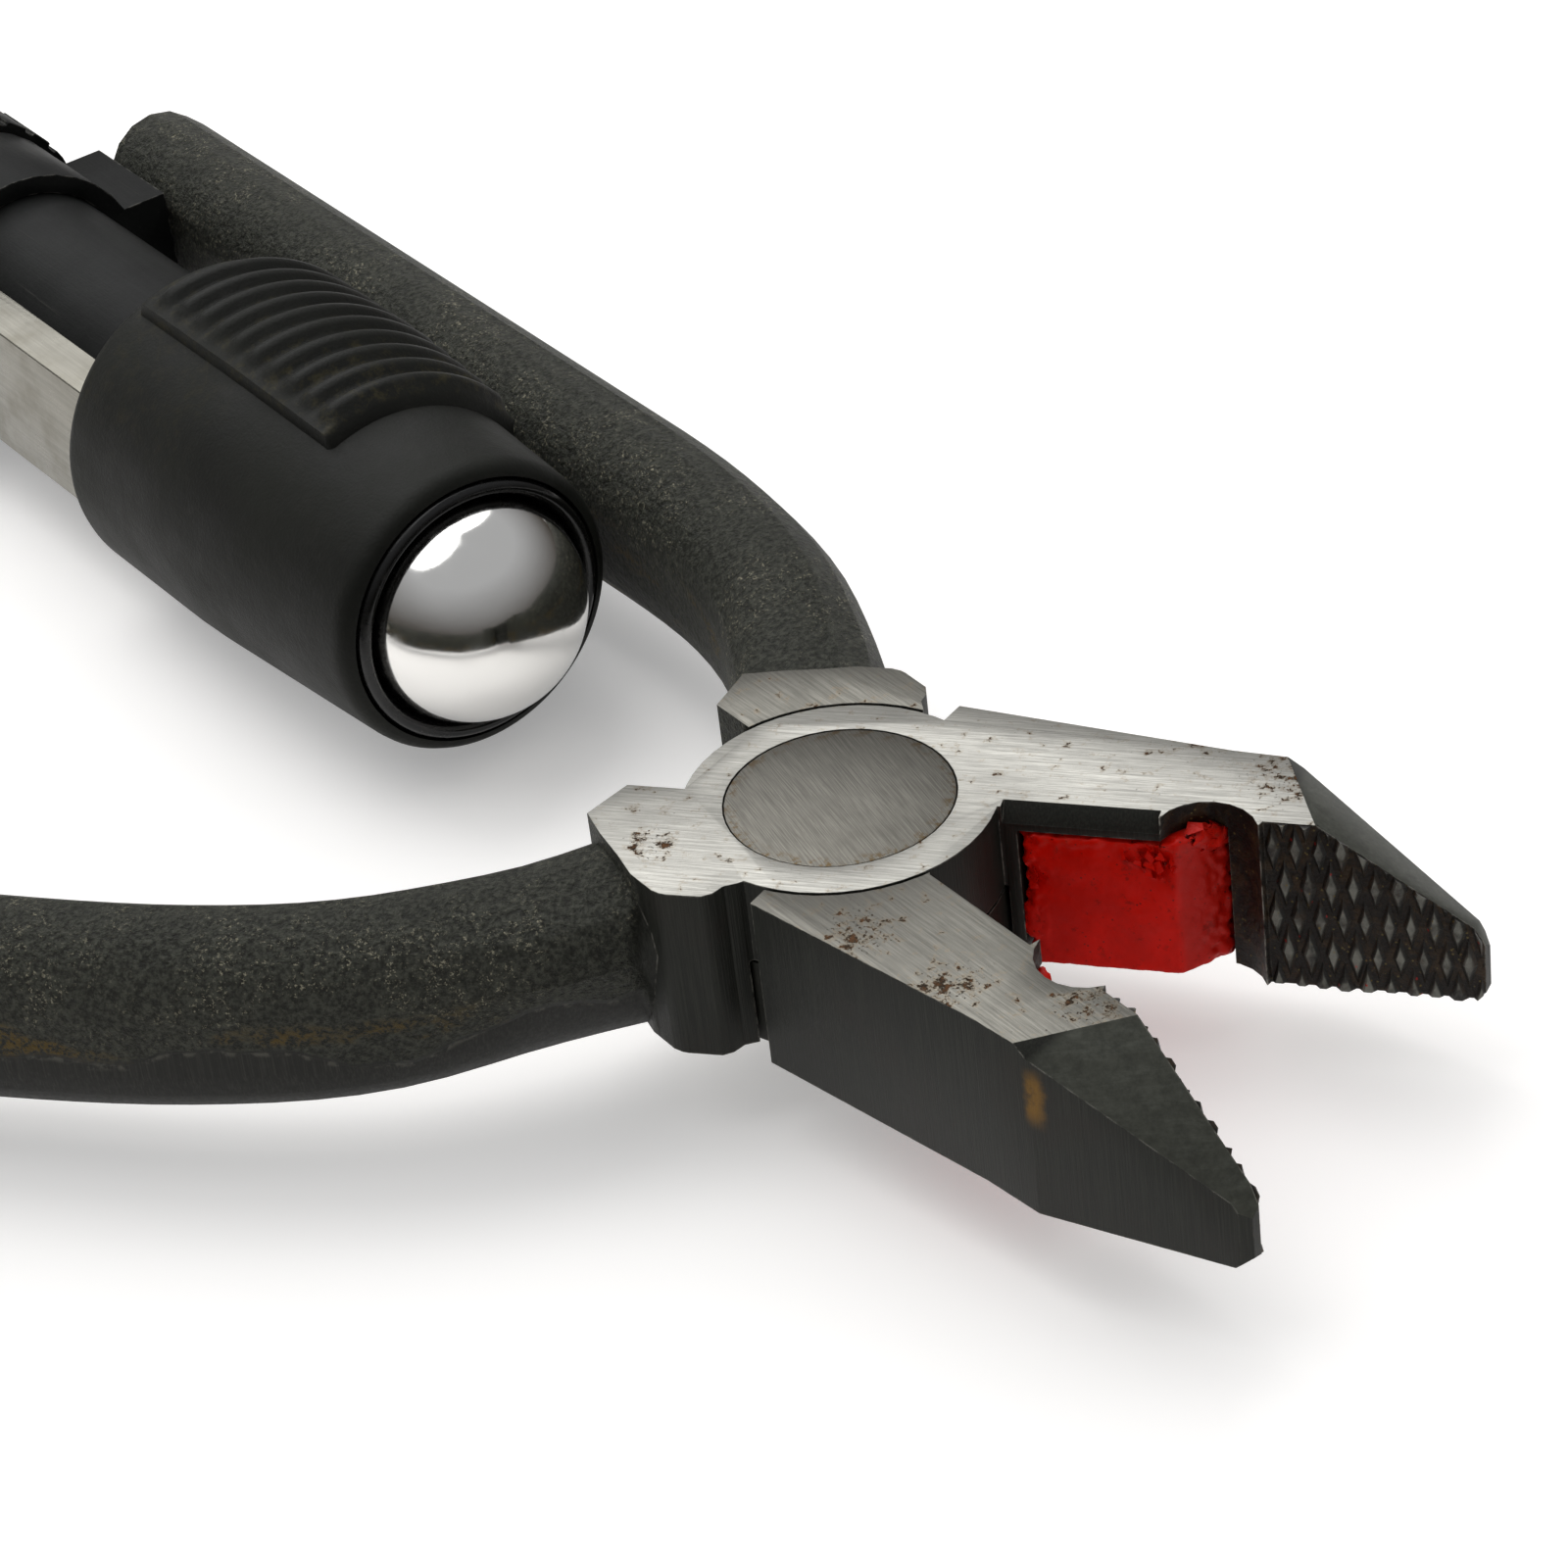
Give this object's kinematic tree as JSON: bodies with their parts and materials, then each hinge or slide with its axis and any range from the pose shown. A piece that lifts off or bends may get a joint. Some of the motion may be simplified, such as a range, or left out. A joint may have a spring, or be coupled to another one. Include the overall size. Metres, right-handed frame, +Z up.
{
  "type": "wire twisting pliers",
  "caption": "Reversible safety-wire twisting pliers: lap-jointed halves with cutter and serrated grip, a pull knob on a spiral rod in a barrel, and a sliding lock sleeve.",
  "frame": {"origin": "centre of the pivot rivet's top face, flush with the top of the jaws", "axes": "+X along the twist axis from the pivot to the tip of the fixed jaw, +Z up out of the pivot rivet's top face, +Y towards the fixed handle; the swing half is shown turned 38.7 degrees open about +Z"},
  "size_m": [0.1798, 0.1112, 0.025],
  "materials": {
    "forged_steel": "dark forged oxide, with ground and worn faces",
    "ground_steel": "fine ground",
    "red_rubber": "soft, torn and stained",
    "plated_steel": "bright zinc plate",
    "polished_steel": "mirror polish",
    "blued_steel": "dark oxide",
    "black_plastic": "matt moulded, dusty",
    "gloss_black": "glossy",
    "black_rubber": "smooth",
    "spring_steel": "drawn wire",
    "bronze": "turned"
  },
  "bodies": {
    "frame": {"fixed_half": "forged_steel", "pivot_rivet": "ground_steel", "rivet_foot": "ground_steel", "fixed_jaw_pad": "red_rubber", "barrel_tube": "blued_steel", "front_dome": "polished_steel", "guide_rail": "plated_steel", "anchor_collar": "blued_steel", "anchor_screw_front": "plated_steel", "anchor_screw_rear": "plated_steel", "detent_spring": "spring_steel", "detent_ball": "plated_steel", "drive_nut": "bronze", "thrust_washer": "plated_steel", "nut_ring": "blued_steel", "return_spring": "spring_steel"},
    "swing": {"swing_half": "forged_steel", "swing_jaw_pad": "red_rubber", "catch_hook": "plated_steel", "catch_rivet_front": "plated_steel", "catch_rivet_rear": "plated_steel"},
    "sleeve": {"lock_sleeve": "black_plastic", "sleeve_lip": "gloss_black", "friction_ring": "black_rubber"},
    "selector": {"selector_ring": "blued_steel"},
    "follower": {"spring_follower": "bronze"},
    "rod": {"spiral_rod": "plated_steel", "rod_head": "plated_steel", "knob_hub": "plated_steel", "knob_pin": "plated_steel", "pull_knob": "black_plastic", "knob_cap": "gloss_black"}
  },
  "joints": [
    {"name": "jaw_pivot", "type": "hinge", "parent": "frame", "child": "swing", "pos_m": [0, 0, 0], "axis": [0, 0, 1], "range_deg": [-38.5, 8]},
    {"name": "sleeve_slide", "type": "slide", "parent": "frame", "child": "sleeve", "axis": [-1, 0, 0], "range_m": [0, 0.008]},
    {"name": "selector_turn", "type": "hinge", "parent": "frame", "child": "selector", "pos_m": [-0.115, 0, -0.0059], "axis": [1, 0, 0], "range_deg": [0, 60]},
    {"name": "rod_pull", "type": "slide", "parent": "frame", "child": "follower", "axis": [-1, 0, 0], "range_m": [0, 0.04], "stiffness_N_per_m": 120, "springref_m": -0.01, "deforming": ["return_spring"]},
    {"name": "rod_twist", "type": "hinge", "parent": "follower", "child": "rod", "pos_m": [-0.051, 0, -0.0059], "axis": [-1, 0, 0], "range_deg": [0, 485]}
  ],
  "couplings": [
    {"joint": "rod_twist", "follows": "rod_pull", "rad_per_m": 209.44}
  ]
}
